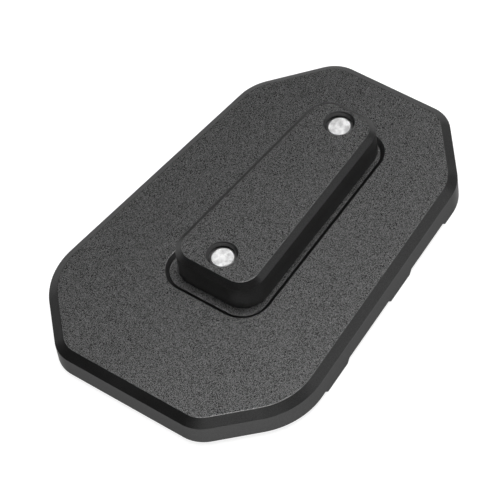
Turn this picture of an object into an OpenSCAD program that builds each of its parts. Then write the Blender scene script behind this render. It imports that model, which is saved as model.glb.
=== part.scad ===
// Brake pedal extension: a wide tread plate, a clamp block and the two screws that draw them together.
// The plate lies on its tread bars with the clamp block on top, and +X runs to the narrow end.

/* [Tread plate] */
// Length of the plate
plate_len = 86; // [80:1:95]
// Width across the wide end, before the corners are cut
wide_end_w = 62; // [58:1:68]
// Width across the narrow end, before the corners are cut
narrow_end_w = 47; // [44:1:54]
// Thickness of the plate without the tread bars
plate_t = 5.2; // [5:0.1:7]
// Length along the plate taken by each cut corner
corner_len = 13.7; // [11:0.1:14]
// Straight edge left across the wide end
wide_flat = 32; // [26:1:34]
// Straight edge left across the narrow end
narrow_flat = 26; // [22:1:28]
// Width of the chamfer round the mounting face
plate_chamfer_w = 1.8; // [1:0.1:2.5]
// Depth of the chamfer round the mounting face
plate_chamfer_h = 1.15; // [0.8:0.05:2]

/* [Corner radii] */
// Radius where a long side meets a cut corner at the wide end
wide_side_r = 15; // [10:0.5:16]
// Radius where a long side meets a cut corner at the narrow end
narrow_side_r = 10; // [6:0.5:14]
// Radius where a cut corner meets an end edge
end_r = 7; // [4:0.5:8]

/* [Tread bars] */
// Height of the bars on the tread face
bar_h = 0.9; // [0.6:0.1:1.5]
// Width of a bar at its crest
bar_w = 7; // [5:0.5:9]
// Run of the slope on each side of a bar
bar_slope = 0.8; // [0.4:0.1:1.2]

/* [Clamp block] */
// Length of the block
block_len = 47.3; // [46:0.1:48]
// Height of the block
block_h = 6.4; // [5.5:0.1:9]
// Width of the block half way between its screws
block_w = 17.2; // [16:0.1:18]
// Taper of each long side of the block and its pocket, in degrees
block_taper = 3; // [1:0.25:4]
// Radius of the block's corners
block_r = 4.9; // [4:0.1:6]
// Width of the chamfer round the block's upper face
block_chamfer_w = 1.15; // [0.6:0.05:1.5]
// Depth of the chamfer round the block's upper face
block_chamfer_h = 1; // [0.6:0.1:1.5]
// Chamfer round the block's lower face
block_foot = 0.5; // [0.2:0.1:0.8]

/* [Pocket for the block] */
// Depth of the pocket
pocket_d = 0.6; // [0.4:0.1:1]
// Run of the pocket's sloping rim
pocket_slope = 0.7; // [0.4:0.1:1]
// Room beside the block
pocket_side_gap = 1.75; // [1.2:0.05:2]
// Room beyond the block's wide end
pocket_wide_gap = 2.4; // [1.2:0.1:3]
// Room beyond the block's narrow end
pocket_narrow_gap = 0.4; // [0.4:0.1:2]

/* [Screws] */
// Distance between the two screws
screw_pitch = 37.4; // [36:0.1:38]
// Thread diameter of the screws and of their holes in the block
thread_d = 6; // [5:0.5:6]
// Overall length of a screw, head included
screw_len = 10; // [9.5:0.5:11]
// Diameter of the countersunk head
head_d = 11.6; // [10.5:0.1:12]
// Height of the head's straight rim
head_rim_h = 0.3; // [0.1:0.1:0.5]
// Width across the flats of the hexagon socket
socket_af = 4; // [3:0.5:4]
// Depth of the hexagon socket
socket_d = 2.4; // [1.5:0.1:2.5]

/* [Hidden] */

// Heights above the bars' crests
underside_z = bar_h;
face_z = underside_z + plate_t;
floor_z = face_z - pocket_d;
block_top_z = floor_z + block_h;
screw_tip_z = underside_z + screw_len;

// Places along the plate, from its middle
bar_x = [-16.8, 6.2, 26.8];
screw_mid_x = 6.9;
wide_screw_x = screw_mid_x - screw_pitch / 2;
narrow_screw_x = screw_mid_x + screw_pitch / 2;
block_wide_x = -17.1;
block_narrow_x = block_wide_x + block_len;
pocket_wide_x = block_wide_x - pocket_wide_gap;
pocket_narrow_x = block_narrow_x + pocket_narrow_gap;

// Screw fits
thread_play = 0.05;
tip_chamfer = 0.85;
hole_chamfer = 0.15;
plate_hole_d = thread_d + 0.6;
bar_relief_d = head_d + 1.8;
socket_cone_h = 0.8;

// Smoothness of the curves, and the overlap that keeps a cut clean
curve_fn = 96;
bore_fn = 64;
eps = 0.01;

function unit(v) = v / norm(v);

// Centre of the circle that rounds corner v between its neighbours a and b
function corner_centre(a, v, b, r) =
    let (to_a = unit(a - v), to_b = unit(b - v), half = acos(to_a * to_b) / 2)
    v + unit(to_a + to_b) * r / sin(half);

// Half the plate's width at x, before the corners are cut
function plate_half_w(x) = (wide_end_w + narrow_end_w) / 4 - (wide_end_w - narrow_end_w) / 2 * x / plate_len;

// Half the width at x of a shape that tapers as the block does
function tapered_half_w(mid_w, x) = mid_w / 2 - (x - screw_mid_x) * tan(block_taper);

// Both halves of an outline, from its upper half listed from the narrow end to the wide end
function both_halves(upper) = concat(upper, [for (i = [len(upper) - 1:-1:0]) [upper[i].x, -upper[i].y]]);

// Corners of a tapered shape between two places along the plate
function tapered_corners(mid_w, wide_x, narrow_x) = both_halves([
    [narrow_x, tapered_half_w(mid_w, narrow_x)],
    [wide_x, tapered_half_w(mid_w, wide_x)]
]);

end_x = plate_len / 2;
cut_x = end_x - corner_len;
plate_corners = both_halves([
    [end_x, narrow_flat / 2],
    [cut_x, plate_half_w(cut_x)],
    [-cut_x, plate_half_w(-cut_x)],
    [-end_x, wide_flat / 2]
]);
plate_radii = [end_r, narrow_side_r, wide_side_r, end_r, end_r, wide_side_r, narrow_side_r, end_r];

// Slab with an outline rounded at each corner by a stack of discs. Each layer is [z, inset from the outline].
module rounded_slab(corners, radii, layers) {
    n = len(corners);
    hull()
        for (i = [0:n - 1])
            translate(corner_centre(corners[(i + n - 1) % n], corners[i], corners[(i + 1) % n], radii[i]))
                rotate_extrude($fn = curve_fn)
                    polygon(concat(
                        [[0, layers[0][0]]],
                        [for (layer = layers) [radii[i] - layer[1], layer[0]]],
                        [[0, layers[len(layers) - 1][0]]]
                    ));
}

// Bar across the tread face, with its crest on the ground and sloping sides
module tread_bar() {
    length = max(wide_end_w, narrow_end_w) + 2;
    translate([0, length / 2, 0])
        rotate([90, 0, 0])
            linear_extrude(length)
                polygon([
                    [-bar_w / 2, 0],
                    [bar_w / 2, 0],
                    [bar_w / 2 + bar_slope, bar_h],
                    [bar_w / 2 + bar_slope, bar_h + 1],
                    [-bar_w / 2 - bar_slope, bar_h + 1],
                    [-bar_w / 2 - bar_slope, bar_h]
                ]);
}

// Countersunk hole for one screw, open from below, with room for the head through a bar
module screw_seat() {
    head_r = head_d / 2;
    seat_r = head_r + head_rim_h;
    cone_h = seat_r - plate_hole_d / 2;
    translate([0, 0, -eps])
        cylinder(d = bar_relief_d, h = bar_h + eps, $fn = bore_fn);
    translate([0, 0, underside_z])
        cylinder(r1 = seat_r, r2 = plate_hole_d / 2, h = cone_h, $fn = bore_fn);
    cylinder(d = plate_hole_d, h = face_z + 1, $fn = bore_fn);
}

module tread_plate() {
    color("dimgray")
        difference() {
            intersection() {
                rounded_slab(plate_corners, plate_radii, [
                    [0, 0],
                    [face_z - plate_chamfer_h, 0],
                    [face_z, plate_chamfer_w]
                ]);
                union() {
                    translate([-end_x - 1, -wide_end_w, underside_z])
                        cube([plate_len + 2, 2 * wide_end_w, face_z]);
                    for (x = bar_x)
                        translate([x, 0, 0])
                            tread_bar();
                }
            }
            block_pocket();
            for (x = [wide_screw_x, narrow_screw_x])
                translate([x, 0, 0])
                    screw_seat();
        }
}

// Shallow pocket round the block's foot, with a sloping rim
module block_pocket() {
    corners = tapered_corners(block_w + 2 * pocket_side_gap, pocket_wide_x, pocket_narrow_x);
    r = block_r + pocket_slope;
    rounded_slab(corners, [r, r, r, r], [
        [floor_z, pocket_slope],
        [face_z, 0],
        [face_z + 1, 0]
    ]);
}

module clamp_block() {
    corners = tapered_corners(block_w, block_wide_x, block_narrow_x);
    color("#3a3a3a")
        difference() {
            rounded_slab(corners, [block_r, block_r, block_r, block_r], [
                [floor_z, block_foot],
                [floor_z + block_foot, 0],
                [block_top_z - block_chamfer_h, 0],
                [block_top_z, block_chamfer_w]
            ]);
            for (x = [wide_screw_x, narrow_screw_x])
                translate([x, 0, 0])
                    threaded_hole();
        }
}

// Through hole of the thread's full diameter, with its mouth broken
module threaded_hole() {
    translate([0, 0, floor_z - 1])
        cylinder(d = thread_d, h = block_h + 2, $fn = bore_fn);
    translate([0, 0, block_top_z - hole_chamfer])
        cylinder(d1 = thread_d, d2 = thread_d + 2 * hole_chamfer + 2 * eps, h = hole_chamfer + eps, $fn = bore_fn);
}

// Countersunk screw with a hexagon socket, head down and level with the plate's underside
module countersunk_screw() {
    head_r = head_d / 2;
    shank_r = thread_d / 2 - thread_play;
    cone_h = head_r - shank_r;
    color("silver")
        translate([0, 0, underside_z])
            difference() {
                rotate_extrude($fn = bore_fn)
                    polygon([
                        [0, 0],
                        [head_r, 0],
                        [head_r, head_rim_h],
                        [shank_r, head_rim_h + cone_h],
                        [shank_r, screw_len - tip_chamfer],
                        [shank_r - tip_chamfer, screw_len],
                        [0, screw_len]
                    ]);
                hex_socket();
            }
}

// Hexagon socket with the cone left by its drill
module hex_socket() {
    socket_r = socket_af / 2 / cos(30);
    translate([0, 0, -eps])
        cylinder(r = socket_r, h = socket_d + eps, $fn = 6);
    translate([0, 0, socket_d - eps])
        cylinder(r1 = socket_af / 2, r2 = 0, h = socket_cone_h, $fn = bore_fn);
}

module wide_end_screw() {
    translate([wide_screw_x, 0, 0])
        countersunk_screw();
}

module narrow_end_screw() {
    translate([narrow_screw_x, 0, 0])
        countersunk_screw();
}

tread_plate();
clamp_block();
wide_end_screw();
narrow_end_screw();
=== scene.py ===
"""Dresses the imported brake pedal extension: plate, clamp block and screws, on a white studio table."""

import math

import bmesh
import bpy
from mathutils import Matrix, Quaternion, Vector


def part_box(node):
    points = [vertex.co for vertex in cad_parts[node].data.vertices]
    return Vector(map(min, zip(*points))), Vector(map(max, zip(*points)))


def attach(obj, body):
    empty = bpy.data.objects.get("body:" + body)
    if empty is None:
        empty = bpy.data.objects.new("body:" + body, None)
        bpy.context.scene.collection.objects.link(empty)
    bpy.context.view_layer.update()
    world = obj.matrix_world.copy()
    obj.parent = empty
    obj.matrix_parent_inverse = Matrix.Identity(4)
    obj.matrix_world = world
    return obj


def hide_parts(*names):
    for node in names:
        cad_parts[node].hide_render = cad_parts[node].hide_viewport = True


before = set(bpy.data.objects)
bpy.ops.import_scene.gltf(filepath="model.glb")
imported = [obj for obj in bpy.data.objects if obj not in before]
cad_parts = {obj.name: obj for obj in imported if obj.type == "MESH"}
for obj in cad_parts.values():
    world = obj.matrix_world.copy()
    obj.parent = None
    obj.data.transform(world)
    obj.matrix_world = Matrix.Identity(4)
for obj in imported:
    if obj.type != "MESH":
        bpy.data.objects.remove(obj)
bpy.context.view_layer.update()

# Pieces are modelled in millimetres and brought to metres when they are finished
METRE = 0.001
MERGE_DISTANCE = 0.001
LEVEL_TOLERANCE = 0.002
LEVEL_NORMAL = 0.99
FLAT_ANGLE = math.radians(10)
SMOOTH_ANGLE = math.radians(35)


def millimetres(corner):
    """A corner of the frame's boxes, in millimetres."""
    return Vector(corner) / METRE


plate_low, plate_high = map(millimetres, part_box("tread_plate"))
block_low, block_high = map(millimetres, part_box("clamp_block"))
wide_screw_low, wide_screw_high = map(millimetres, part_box("wide_end_screw"))
narrow_screw_low, narrow_screw_high = map(millimetres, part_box("narrow_end_screw"))

# Tread plate
WIDE_END_W = 62
NARROW_END_W = 47
CORNER_LEN = 13.7
WIDE_FLAT = 32
NARROW_FLAT = 26
WIDE_SIDE_R = 15
NARROW_SIDE_R = 10
END_R = 7
PLATE_CHAMFER_W = 1.8
PLATE_CHAMFER_H = 1.15
PLATE_EDGE = 0.06
plate_len = plate_high.x - plate_low.x
end_x = plate_high.x
face_z = plate_high.z

# Tread bars
BAR_X = (-16.8, 6.2, 26.8)
BAR_W = 7
BAR_H = 0.9
BAR_SLOPE = 0.8
underside_z = BAR_H

# Clamp block and the pocket that it stands in
BLOCK_TAPER = math.radians(3)
BLOCK_MID_W = 17.2
BLOCK_R = 4.9
BLOCK_CHAMFER_W = 1.15
BLOCK_CHAMFER_H = 1.0
BLOCK_FOOT = 0.12
BLOCK_EDGE = 0.05
POCKET_SLOPE = 0.85
POCKET_SIDE_GAP = 1.75
POCKET_WIDE_GAP = 2.4
POCKET_NARROW_GAP = 0.4
POCKET_EDGE = 0.1
floor_z = block_low.z

# Screws and the holes for them
wide_screw_x = (wide_screw_low.x + wide_screw_high.x) / 2
narrow_screw_x = (narrow_screw_low.x + narrow_screw_high.x) / 2
screw_mid_x = (wide_screw_x + narrow_screw_x) / 2
screw_tip_z = wide_screw_high.z
head_r = (wide_screw_high.x - wide_screw_low.x) / 2
HEAD_RIM_H = 0.3
THREAD_R = 3.0
THREAD_PITCH = 1.0
THREAD_DEPTH = 0.54
THREAD_ROOT = THREAD_PITCH / 4
THREAD_CREST = THREAD_PITCH / 8
THREAD_PLAY = 0.05
MOUTH_STEEPNESS = 2
TIP_CHAMFER = 0.85
SOCKET_AF = 4
SOCKET_DEPTH = 2.4
SOCKET_CONE = 0.8
PLATE_HOLE_R = 3.3
BAR_RELIEF_R = 6.7

# Smoothness of curves: degrees turned by one step of a corner, and steps round a bore or a thread
CORNER_STEP = math.radians(3)
BORE_STEPS = 96
THREAD_STEPS = 72

# Finish of the grit-blasted aluminium, and the walls' painted light and shade. Scales are in cycles per
# metre, and the depth in metres.
FACE_GREY = 0.0886
# Painted light and shade: the walls' greys stand in for how bright the walls look under the lamps, darker
# than the faces on the plate (painted shade) and lighter on the block (painted sheen)
PLATE_WALL_SHADE_GREY = 0.071
BLOCK_WALL_SHEEN_GREY = 0.19
EDGE_TINT = 0.5
FACE_ROUGHNESS = 0.4
SIDE_ROUGHNESS = 0.3
PIT_SCALE = 13000
PIT_SPREAD = (0.3, 0.7)
PIT_CONTRAST = 0.95
RELIEF_SCALE = 4500
RELIEF_DEPTH = 0.00003
SIDE_GRAIN = 0.15
CLOUD_SCALE = 180
CLOUD_ROUGHNESS = 0.08

# Levelness, from 0 upright to 1 level, over which the grain sets in and the faces' grey takes over from
# the walls' painted light and shade grey
GRAINED = (0.93, 0.995)
PAINTED_WALL_BLEND = (0.3, 0.7)

# Finish of the zinc-plated screws
ZINC_SCALE = 900
ZINC_SPREAD = (0.35, 0.65)
ZINC_GREYS = (0.68, 1.0)
ZINC_ROUGHNESS = (0.35, 0.5)
ZINC_RELIEF = 0.00006

# White table, and the pale band round the horizon that fades out between two heights
TABLE_GREY = 0.3
TABLE_LIFT = 0.86
HORIZON_HEIGHTS = (0.1, 0.3)
HORIZON_STRENGTH = 1.18

# Softboxes
SOFTBOX_DISTANCE = 1
SOFTBOX_SIZE = 0.45

# Camera, placed so that the plate's edges fall where the photograph has them
CAMERA_PLACE = Vector((-233.44, -222.84, 401.02)) * METRE
CAMERA_AIM = Vector((-4.95, -0.60, 6.10)) * METRE
CAMERA_ROLL = math.radians(9.78)
CAMERA_LENS = 195.02


def work_on(piece):
    """Leaves only this piece selected and active, in object mode."""
    if bpy.context.object and bpy.context.object.mode != "OBJECT":
        bpy.ops.object.mode_set(mode="OBJECT")
    bpy.ops.object.select_all(action="DESELECT")
    piece.select_set(True)
    bpy.context.view_layer.objects.active = piece


def open_mesh(piece):
    """Enters edit mode on the piece, with every vertex selected."""
    work_on(piece)
    bpy.ops.object.mode_set(mode="EDIT")
    bpy.ops.mesh.select_mode(type="VERT")
    bpy.ops.mesh.select_all(action="SELECT")


def close_mesh():
    bpy.ops.object.mode_set(mode="OBJECT")


def named(name):
    """Names the primitive that was just added."""
    piece = bpy.context.object
    piece.name = name
    piece.data.name = name
    return piece


def select_faces(piece, test):
    """In edit mode, selects the faces whose centre and normal pass the test."""
    bpy.ops.mesh.select_mode(type="FACE")
    bpy.ops.mesh.select_all(action="DESELECT")
    mesh = bmesh.from_edit_mesh(piece.data)
    for face in mesh.faces:
        face.select_set(test(face.calc_center_median(), face.normal))
    bmesh.update_edit_mesh(piece.data)


def select_edges(piece, test):
    """In edit mode, selects the edges whose two ends pass the test."""
    bpy.ops.mesh.select_mode(type="EDGE")
    bpy.ops.mesh.select_all(action="DESELECT")
    mesh = bmesh.from_edit_mesh(piece.data)
    for edge in mesh.edges:
        edge.select_set(test(*edge.verts))
    bmesh.update_edit_mesh(piece.data)


def level_with(height):
    """A test for select_edges: the edge lies flat at this height, between faces that meet at an angle."""
    def test(a, b):
        flat = abs(a.co.z - height) < LEVEL_TOLERANCE and abs(b.co.z - height) < LEVEL_TOLERANCE
        edge = next(e for e in a.link_edges if b in e.verts)
        return flat and edge.is_manifold and edge.calc_face_angle() > FLAT_ANGLE
    return test


def round_edges(piece, height, width, segments=3):
    """Rounds the piece's edges at one height."""
    open_mesh(piece)
    select_edges(piece, level_with(height))
    bpy.ops.mesh.bevel(offset=width, offset_type="OFFSET", segments=segments, profile=0.5, affect="EDGES")
    close_mesh()


def cut_away(piece, cutter, operation="DIFFERENCE"):
    """Applies a boolean between the piece and a cutter, and removes the cutter."""
    work_on(piece)
    boolean = piece.modifiers.new("cut", "BOOLEAN")
    boolean.operation = operation
    boolean.solver = "EXACT"
    boolean.object = cutter
    bpy.ops.object.modifier_apply(modifier=boolean.name)
    bpy.data.objects.remove(cutter)


def set_at(piece, x):
    """Moves a piece that was made round the vertical axis to its place along the plate."""
    piece.location.x = x
    work_on(piece)
    bpy.ops.object.transform_apply(location=True, rotation=False, scale=False)
    return piece


def copy_of(piece, name):
    """A copy of the piece with its own mesh."""
    work_on(piece)
    bpy.ops.object.duplicate(linked=False)
    return named(name)


def finish_mesh(piece):
    """Smooths the shading of the rounded edges, keeps flat faces flat, and brings the piece to metres."""
    work_on(piece)
    bpy.ops.object.shade_smooth_by_angle(angle=SMOOTH_ANGLE)
    weighted = piece.modifiers.new("flat faces", "WEIGHTED_NORMAL")
    weighted.keep_sharp = True
    weighted.weight = 100
    bpy.ops.object.modifier_apply(modifier=weighted.name)
    piece.scale = (METRE, METRE, METRE)
    bpy.ops.object.transform_apply(location=True, rotation=True, scale=True)


def rounded_outline(corners, radii):
    """Points of an outline, given anticlockwise, whose corners are rounded by arcs."""
    points = []
    count = len(corners)
    for index, radius in enumerate(radii):
        corner = Vector(corners[index])
        to_last = (Vector(corners[index - 1]) - corner).normalized()
        to_next = (Vector(corners[(index + 1) % count]) - corner).normalized()
        half_angle = to_last.angle(to_next) / 2
        centre = corner + (to_last + to_next).normalized() * radius / math.sin(half_angle)
        start = corner + to_last * radius / math.tan(half_angle) - centre
        turn = math.pi - 2 * half_angle
        steps = round(turn / CORNER_STEP)
        start_angle = math.atan2(start.y, start.x)
        for step in range(steps + 1):
            angle = start_angle + turn * step / steps
            points.append((centre.x + radius * math.cos(angle), centre.y + radius * math.sin(angle)))
    return points


def both_halves(upper):
    """Anticlockwise corners of a symmetric outline, from its upper half listed from +X to -X."""
    return upper + [(x, -y) for x, y in reversed(upper)]


def outline_solid(name, points, low, high):
    """Straight-walled solid on an outline."""
    bpy.ops.mesh.primitive_circle_add(vertices=len(points), radius=1, fill_type="NGON")
    piece = named(name)
    for vertex, (x, y) in zip(piece.data.vertices, points):
        vertex.co = (x, y, low)
    open_mesh(piece)
    bpy.ops.mesh.extrude_region_move(TRANSFORM_OT_translate={"value": (0, 0, high - low)})
    bpy.ops.mesh.select_all(action="SELECT")
    bpy.ops.mesh.normals_make_consistent(inside=False)
    close_mesh()
    return piece


def slope_end(piece, upwards, inset, depth):
    """Grows the piece past its upper or lower face by a sloping band."""
    open_mesh(piece)
    way = 1 if upwards else -1
    select_faces(piece, lambda centre, normal: normal.z * way > LEVEL_NORMAL)
    bpy.ops.mesh.inset(thickness=inset, depth=depth, use_even_offset=True)
    close_mesh()


def turned(name, profile):
    """Solid turned about the vertical axis, from a profile of (radius, height) points."""
    bpy.ops.mesh.primitive_plane_add(size=1)
    piece = named(name)
    open_mesh(piece)
    bpy.ops.mesh.merge(type="CENTER")
    bpy.ops.transform.translate(value=(profile[0][0], 0, profile[0][1]))
    for (last_r, last_z), (r, z) in zip(profile, profile[1:]):
        bpy.ops.mesh.extrude_vertices_move(TRANSFORM_OT_translate={"value": (r - last_r, 0, z - last_z)})
    bpy.ops.mesh.select_all(action="SELECT")
    bpy.ops.mesh.spin(steps=BORE_STEPS, angle=2 * math.pi, center=(0, 0, 0), axis=(0, 0, 1))
    bpy.ops.mesh.select_all(action="SELECT")
    bpy.ops.mesh.remove_doubles(threshold=MERGE_DISTANCE)
    bpy.ops.mesh.normals_make_consistent(inside=False)
    close_mesh()
    return piece


def threaded_rod(name, crest_r, low, high):
    """Rod with a right-hand 60-degree thread, cut off flat at both ends."""
    root_r = crest_r - THREAD_DEPTH
    crest_low = THREAD_ROOT + (THREAD_PITCH - THREAD_ROOT - THREAD_CREST) / 2
    one_turn = [
        (root_r, 0),
        (root_r, THREAD_ROOT),
        (crest_r, crest_low),
        (crest_r, crest_low + THREAD_CREST),
        (root_r, THREAD_PITCH),
    ]
    bpy.ops.mesh.primitive_plane_add(size=1)
    rod = named(name)
    open_mesh(rod)
    bpy.ops.mesh.merge(type="CENTER")
    turns = math.ceil((high - low) / THREAD_PITCH) + 3
    start_z = math.floor(low / THREAD_PITCH) * THREAD_PITCH - THREAD_PITCH
    bpy.ops.transform.translate(value=(root_r, 0, start_z))
    for (last_r, last_z), (r, z) in zip(one_turn, one_turn[1:]):
        bpy.ops.mesh.extrude_vertices_move(TRANSFORM_OT_translate={"value": (r - last_r, 0, z - last_z)})
    close_mesh()
    helix = rod.modifiers.new("helix", "SCREW")
    helix.axis = "Z"
    helix.angle = 2 * math.pi
    helix.screw_offset = THREAD_PITCH
    helix.iterations = turns
    helix.steps = THREAD_STEPS
    helix.render_steps = THREAD_STEPS
    bpy.ops.object.modifier_apply(modifier=helix.name)
    open_mesh(rod)
    bpy.ops.mesh.remove_doubles(threshold=MERGE_DISTANCE)
    for height, up in ((low, -1), (high, 1)):
        bpy.ops.mesh.select_all(action="SELECT")
        bpy.ops.mesh.bisect(plane_co=(0, 0, height), plane_no=(0, 0, up), use_fill=True, clear_outer=True)
    bpy.ops.mesh.select_all(action="SELECT")
    bpy.ops.mesh.normals_make_consistent(inside=False)
    close_mesh()
    return rod


def plate_half_w(x):
    """Half the plate's width at x, before its corners are cut."""
    return (WIDE_END_W + NARROW_END_W) / 4 - (WIDE_END_W - NARROW_END_W) / 2 * x / plate_len


def plate_outline():
    cut_x = end_x - CORNER_LEN
    corners = both_halves([
        (end_x, NARROW_FLAT / 2),
        (cut_x, plate_half_w(cut_x)),
        (-cut_x, plate_half_w(-cut_x)),
        (-end_x, WIDE_FLAT / 2),
    ])
    half_radii = [END_R, NARROW_SIDE_R, WIDE_SIDE_R, END_R]
    return rounded_outline(corners, half_radii + half_radii[::-1])


def tapered_outline(mid_w, wide_x, narrow_x, radius):
    """Outline with the clamp block's taper, of the given width half way between the screws."""
    def half_w(x):
        return mid_w / 2 - (x - screw_mid_x) * math.tan(BLOCK_TAPER)
    corners = both_halves([(narrow_x, half_w(narrow_x)), (wide_x, half_w(wide_x))])
    return rounded_outline(corners, [radius] * 4)


def groove_cutter(low_x, high_x, low_slopes, high_slopes):
    """Clears the tread face between two bars. Each side that meets a bar slopes."""
    width = WIDE_END_W + 2
    bpy.ops.mesh.primitive_cube_add(size=1, location=((low_x + high_x) / 2, 0, 0))
    cutter = named("groove_cutter")
    open_mesh(cutter)
    bpy.ops.transform.resize(value=(high_x - low_x, width, 2 * BAR_H))
    close_mesh()
    for vertex in cutter.data.vertices:
        low_side = vertex.co.x < 0
        outwards = BAR_SLOPE * (low_slopes if low_side else high_slopes)
        shift = outwards if vertex.co.z < 0 else -outwards
        vertex.co.x += -shift if low_side else shift
    return cutter


def screw_seat_cutter():
    """Countersink and clearance hole for one screw, with room for the head through a bar."""
    seat_r = head_r + HEAD_RIM_H
    return turned("screw_seat_cutter", [
        (0, -1),
        (BAR_RELIEF_R, -1),
        (BAR_RELIEF_R, underside_z),
        (seat_r, underside_z),
        (PLATE_HOLE_R, underside_z + seat_r - PLATE_HOLE_R),
        (PLATE_HOLE_R, face_z + 1),
        (0, face_z + 1),
    ])


def pocket_cutter():
    radius = BLOCK_R + POCKET_SLOPE
    points = tapered_outline(
        BLOCK_MID_W + 2 * POCKET_SIDE_GAP,
        block_low.x - POCKET_WIDE_GAP,
        block_high.x + POCKET_NARROW_GAP,
        radius,
    )
    cutter = outline_solid("pocket_cutter", points, face_z, face_z + 1)
    slope_end(cutter, False, POCKET_SLOPE, face_z - floor_z)
    return cutter


def make_plate():
    """Machined plate: chamfered slab, grooves between the tread bars, pocket and two screw seats."""
    plate = outline_solid("blasted_plate", plate_outline(), 0, face_z - PLATE_CHAMFER_H)
    slope_end(plate, True, PLATE_CHAMFER_W, PLATE_CHAMFER_H)
    round_edges(plate, face_z, PLATE_EDGE)
    round_edges(plate, face_z - PLATE_CHAMFER_H, PLATE_EDGE)
    cut_away(plate, pocket_cutter())
    round_edges(plate, face_z, POCKET_EDGE, 2)
    past_end = end_x + 2
    crests = [(x - BAR_W / 2, x + BAR_W / 2) for x in BAR_X]
    edges = [-past_end] + [x for crest in crests for x in crest] + [past_end]
    for index in range(0, len(edges), 2):
        low_slopes = index > 0
        high_slopes = index < len(edges) - 2
        cut_away(plate, groove_cutter(edges[index], edges[index + 1], low_slopes, high_slopes))
    for x in (wide_screw_x, narrow_screw_x):
        cut_away(plate, set_at(screw_seat_cutter(), x))
    finish_mesh(plate)
    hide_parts("tread_plate")
    return plate


def tap():
    """Thread with a countersunk mouth, as a tap and a countersink leave it."""
    crest_r = THREAD_R + THREAD_PLAY
    rod = threaded_rod("tap", crest_r, block_low.z - 1, block_high.z + 1)
    mouth = turned("mouth", [
        (0, block_high.z - crest_r * MOUTH_STEEPNESS),
        (crest_r + 1, block_high.z + MOUTH_STEEPNESS),
        (0, block_high.z + MOUTH_STEEPNESS),
    ])
    cut_away(rod, mouth, "UNION")
    return rod


def make_block():
    """Clamp block: tapered, chamfered above and below, with two tapped holes."""
    points = tapered_outline(BLOCK_MID_W, block_low.x, block_high.x, BLOCK_R)
    block = outline_solid("blasted_block", points, floor_z + BLOCK_FOOT, block_high.z - BLOCK_CHAMFER_H)
    slope_end(block, True, BLOCK_CHAMFER_W, BLOCK_CHAMFER_H)
    slope_end(block, False, BLOCK_FOOT, BLOCK_FOOT)
    for height in (block_high.z, floor_z + BLOCK_FOOT):
        round_edges(block, height, BLOCK_EDGE)
    for x in (wide_screw_x, narrow_screw_x):
        cut_away(block, set_at(tap(), x))
    finish_mesh(block)
    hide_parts("clamp_block")
    return block


def socket_cutter():
    """Hexagon socket with the cone left by its drill."""
    top_z = underside_z + SOCKET_DEPTH
    corner_r = SOCKET_AF / 2 / math.cos(math.radians(30))
    drill_r = SOCKET_AF / 2 - THREAD_PLAY
    bpy.ops.mesh.primitive_cylinder_add(
        vertices=6,
        radius=corner_r,
        depth=SOCKET_DEPTH + 1,
        location=(0, 0, top_z - (SOCKET_DEPTH + 1) / 2),
    )
    cutter = named("socket_cutter")
    work_on(cutter)
    bpy.ops.object.transform_apply(location=True)
    drill = turned("drill", [
        (0, underside_z + 1),
        (drill_r, underside_z + 1),
        (drill_r, top_z),
        (0, top_z + SOCKET_CONE),
    ])
    cut_away(cutter, drill, "UNION")
    return cutter


def make_screw():
    """Countersunk screw on the vertical axis, with a threaded shank and a hexagon socket."""
    crest_r = THREAD_R - THREAD_PLAY
    turned_r = crest_r + THREAD_PLAY
    tip_r = crest_r - TIP_CHAMFER
    cone_top_z = underside_z + HEAD_RIM_H + head_r - crest_r
    screw = threaded_rod("screw", crest_r, cone_top_z - THREAD_PITCH / 2, screw_tip_z + 1)
    head = turned("head", [
        (0, underside_z),
        (head_r, underside_z),
        (head_r, underside_z + HEAD_RIM_H),
        (crest_r, cone_top_z),
        (0, cone_top_z),
    ])
    cut_away(screw, head, "UNION")
    blank = turned("blank", [
        (0, -1),
        (head_r + 1, -1),
        (head_r + 1, cone_top_z + THREAD_PITCH),
        (turned_r, cone_top_z + THREAD_PITCH),
        (turned_r, screw_tip_z - turned_r + tip_r),
        (tip_r, screw_tip_z),
        (0, screw_tip_z),
    ])
    cut_away(screw, blank, "INTERSECT")
    cut_away(screw, socket_cutter())
    return screw


def make_screws():
    """The two screws, in their holes."""
    wide = make_screw()
    narrow = copy_of(wide, "zinc_screw_narrow_end")
    wide.name = wide.data.name = "zinc_screw_wide_end"
    places = (
        (wide, wide_screw_x, "wide_end_screw"),
        (narrow, narrow_screw_x, "narrow_end_screw"),
    )
    for screw, x, node in places:
        finish_mesh(set_at(screw, x))
        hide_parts(node)
    return wide, narrow


def new_material(name):
    """A new material, its node tree and its Principled shader."""
    material = bpy.data.materials.new(name)
    material.use_nodes = True
    return material, material.node_tree, material.node_tree.nodes["Principled BSDF"]


def add_node(tree, kind, **values):
    """Adds a shader node and sets its properties and inputs."""
    node = tree.nodes.new(kind)
    for key, value in values.items():
        if key in node.inputs:
            node.inputs[key].default_value = value
        else:
            setattr(node, key, value)
    return node


def ramp(tree, value, source, target):
    """Maps a socket's value from one range to another, clamped, and returns the new socket."""
    node = add_node(tree, "ShaderNodeMapRange")
    tree.links.new(value, node.inputs["Value"])
    for key, number in zip(("From Min", "From Max", "To Min", "To Max"), source + target):
        node.inputs[key].default_value = number
    return node.outputs["Result"]


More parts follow.
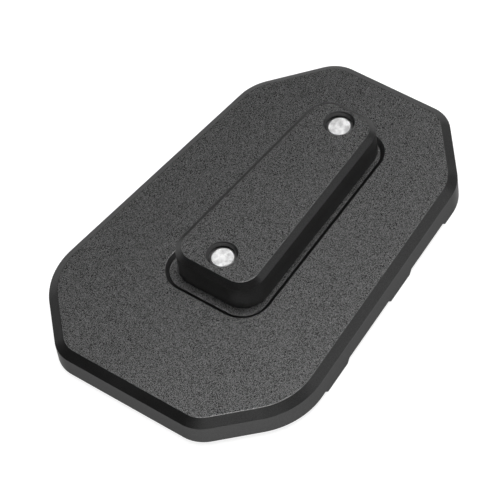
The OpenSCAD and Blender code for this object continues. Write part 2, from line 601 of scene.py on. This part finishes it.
def blasted_black(name, grey, painted_wall_grey):
    """Black anodising, with a fine blasted grain on the level faces and smoother on edges and walls; the
    upright walls carry a painted grey of light and shade.
    """
    material, tree, shader = new_material(name)
    link = tree.links.new
    shader.inputs["Metallic"].default_value = 1
    shader.inputs["Specular Tint"].default_value = (EDGE_TINT, EDGE_TINT, EDGE_TINT, 1)
    place = add_node(tree, "ShaderNodeTexCoord")
    tilt = add_node(tree, "ShaderNodeSeparateXYZ")
    link(place.outputs["Normal"], tilt.inputs["Vector"])
    level = add_node(tree, "ShaderNodeMath", operation="ABSOLUTE")
    link(tilt.outputs["Z"], level.inputs[0])
    blasted = ramp(tree, level.outputs[0], GRAINED, (0, 1))
    # Painted light and shade: upright walls get their part's painted wall grey, level faces get the face
    # grey
    tone = ramp(tree, level.outputs[0], PAINTED_WALL_BLEND, (painted_wall_grey, grey))

    pits = add_node(tree, "ShaderNodeTexVoronoi", Scale=PIT_SCALE)
    link(place.outputs["Object"], pits.inputs["Vector"])
    pit_tone = add_node(tree, "ShaderNodeSeparateColor")
    link(pits.outputs["Color"], pit_tone.inputs["Color"])
    speckle = ramp(tree, pit_tone.outputs["Red"], PIT_SPREAD, (1 - PIT_CONTRAST, 1 + PIT_CONTRAST))
    strength = ramp(tree, blasted, (0, 1), (SIDE_GRAIN, 1))
    grain = add_node(tree, "ShaderNodeMix")
    link(strength, grain.inputs["Factor"])
    grain.inputs["A"].default_value = 1
    link(speckle, grain.inputs["B"])
    colour = add_node(tree, "ShaderNodeMath", operation="MULTIPLY")
    link(tone, colour.inputs[0])
    link(grain.outputs["Result"], colour.inputs[1])
    link(colour.outputs[0], shader.inputs["Base Color"])

    cloud = add_node(tree, "ShaderNodeTexNoise", Scale=CLOUD_SCALE, Detail=3, Roughness=0.55)
    link(place.outputs["Object"], cloud.inputs["Vector"])
    matte = ramp(tree, blasted, (0, 1), (SIDE_ROUGHNESS, FACE_ROUGHNESS))
    patchy = add_node(tree, "ShaderNodeMath", operation="MULTIPLY_ADD")
    link(cloud.outputs["Fac"], patchy.inputs[0])
    patchy.inputs[1].default_value = CLOUD_ROUGHNESS
    link(matte, patchy.inputs[2])
    link(patchy.outputs[0], shader.inputs["Roughness"])

    relief = add_node(tree, "ShaderNodeTexNoise", Scale=RELIEF_SCALE, Detail=2, Roughness=0.6)
    link(place.outputs["Object"], relief.inputs["Vector"])
    bump = add_node(tree, "ShaderNodeBump", Distance=RELIEF_DEPTH)
    link(relief.outputs["Fac"], bump.inputs["Height"])
    link(strength, bump.inputs["Strength"])
    link(bump.outputs["Normal"], shader.inputs["Normal"])
    return material


def zinc_steel():
    """Bright zinc-plated steel with faint mottling."""
    material, tree, shader = new_material("zinc_steel")
    link = tree.links.new
    shader.inputs["Metallic"].default_value = 1
    place = add_node(tree, "ShaderNodeTexCoord")
    mottle = add_node(tree, "ShaderNodeTexNoise", Scale=ZINC_SCALE, Detail=4, Roughness=0.6)
    link(place.outputs["Object"], mottle.inputs["Vector"])
    link(ramp(tree, mottle.outputs["Fac"], ZINC_SPREAD, ZINC_GREYS), shader.inputs["Base Color"])
    link(ramp(tree, mottle.outputs["Fac"], (0, 1), ZINC_ROUGHNESS), shader.inputs["Roughness"])
    bump = add_node(tree, "ShaderNodeBump", Distance=ZINC_RELIEF)
    link(mottle.outputs["Fac"], bump.inputs["Height"])
    link(bump.outputs["Normal"], shader.inputs["Normal"])
    return material


def dress(piece, material):
    """Gives a piece its material and its place in the object."""
    piece.data.materials.clear()
    piece.data.materials.append(material)
    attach(piece, "root")


def add_camera():
    bpy.ops.object.camera_add(location=CAMERA_PLACE)
    camera = bpy.context.object
    camera.name = "camera"
    aim = (CAMERA_AIM - CAMERA_PLACE).to_track_quat("-Z", "Y")
    camera.rotation_mode = "QUATERNION"
    camera.rotation_quaternion = aim @ Quaternion((0, 0, 1), -CAMERA_ROLL)
    camera.data.sensor_width = 36
    camera.data.lens = CAMERA_LENS
    camera.data.clip_start = 0.01
    bpy.context.scene.camera = camera


def add_table():
    """White table. Camera and reflections see it lifted to white, and it keeps the object's shadow."""
    bpy.ops.mesh.primitive_circle_add(vertices=64, radius=3, fill_type="NGON")
    table = bpy.context.object
    table.name = "table"
    material, tree, shader = new_material("white_table")
    link = tree.links.new
    shader.inputs["Base Color"].default_value = (TABLE_GREY, TABLE_GREY, TABLE_GREY, 1)
    shader.inputs["Roughness"].default_value = 0.9
    shader.inputs["Emission Color"].default_value = (1, 1, 1, 1)
    rays = add_node(tree, "ShaderNodeLightPath")
    seen = rays.outputs["Is Camera Ray"]
    for kind in ("Is Glossy Ray", "Is Transmission Ray"):
        either = add_node(tree, "ShaderNodeMath", operation="MAXIMUM")
        link(seen, either.inputs[0])
        link(rays.outputs[kind], either.inputs[1])
        seen = either.outputs[0]
    lift = add_node(tree, "ShaderNodeMath", operation="MULTIPLY")
    link(seen, lift.inputs[0])
    lift.inputs[1].default_value = TABLE_LIFT
    link(lift.outputs[0], shader.inputs["Emission Strength"])
    table.data.materials.append(material)


def add_softbox(name, azimuth, elevation, power):
    """Square lamp that faces the object. Azimuth is anticlockwise from +X, both angles in degrees."""
    around, up = math.radians(azimuth), math.radians(elevation)
    away = Vector((math.cos(around) * math.cos(up), math.sin(around) * math.cos(up), math.sin(up)))
    bpy.ops.object.light_add(type="AREA", location=away * SOFTBOX_DISTANCE)
    lamp = bpy.context.object
    lamp.name = name
    lamp.rotation_mode = "QUATERNION"
    lamp.rotation_quaternion = away.to_track_quat("Z", "Y")
    lamp.data.shape = "SQUARE"
    lamp.data.size = SOFTBOX_SIZE
    lamp.data.energy = power


def add_world():
    """Pale band round the horizon under a dark studio ceiling."""
    world = bpy.data.worlds.new("studio")
    bpy.context.scene.world = world
    world.use_nodes = True
    tree = world.node_tree
    background = tree.nodes["Background"]
    place = add_node(tree, "ShaderNodeTexCoord")
    split = add_node(tree, "ShaderNodeSeparateXYZ")
    tree.links.new(place.outputs["Generated"], split.inputs["Vector"])
    strength = ramp(tree, split.outputs["Z"], HORIZON_HEIGHTS, (HORIZON_STRENGTH, 0))
    tree.links.new(strength, background.inputs["Strength"])
    background.inputs["Color"].default_value = (1, 1, 1, 1)


# The two blacks are one finish; only their walls' painted light and shade grey differs
plate_black = blasted_black("plate_black", FACE_GREY, PLATE_WALL_SHADE_GREY)
block_black = blasted_black("block_black", FACE_GREY, BLOCK_WALL_SHEEN_GREY)
screw_zinc = zinc_steel()

dress(make_plate(), plate_black)
dress(make_block(), block_black)
for finished_screw in make_screws():
    dress(finished_screw, screw_zinc)

add_camera()
add_table()
add_softbox("top_softbox", 0, 89, 8.27)
add_softbox("high_softbox", 0, 68, 1.68)
add_softbox("end_softbox", 0, 45, 1.21)
add_softbox("side_softbox", -45, 45, 0.35)
add_softbox("low_softbox", -60, 20, 0.29)
add_world()

bpy.context.scene.view_settings.view_transform = "Standard"
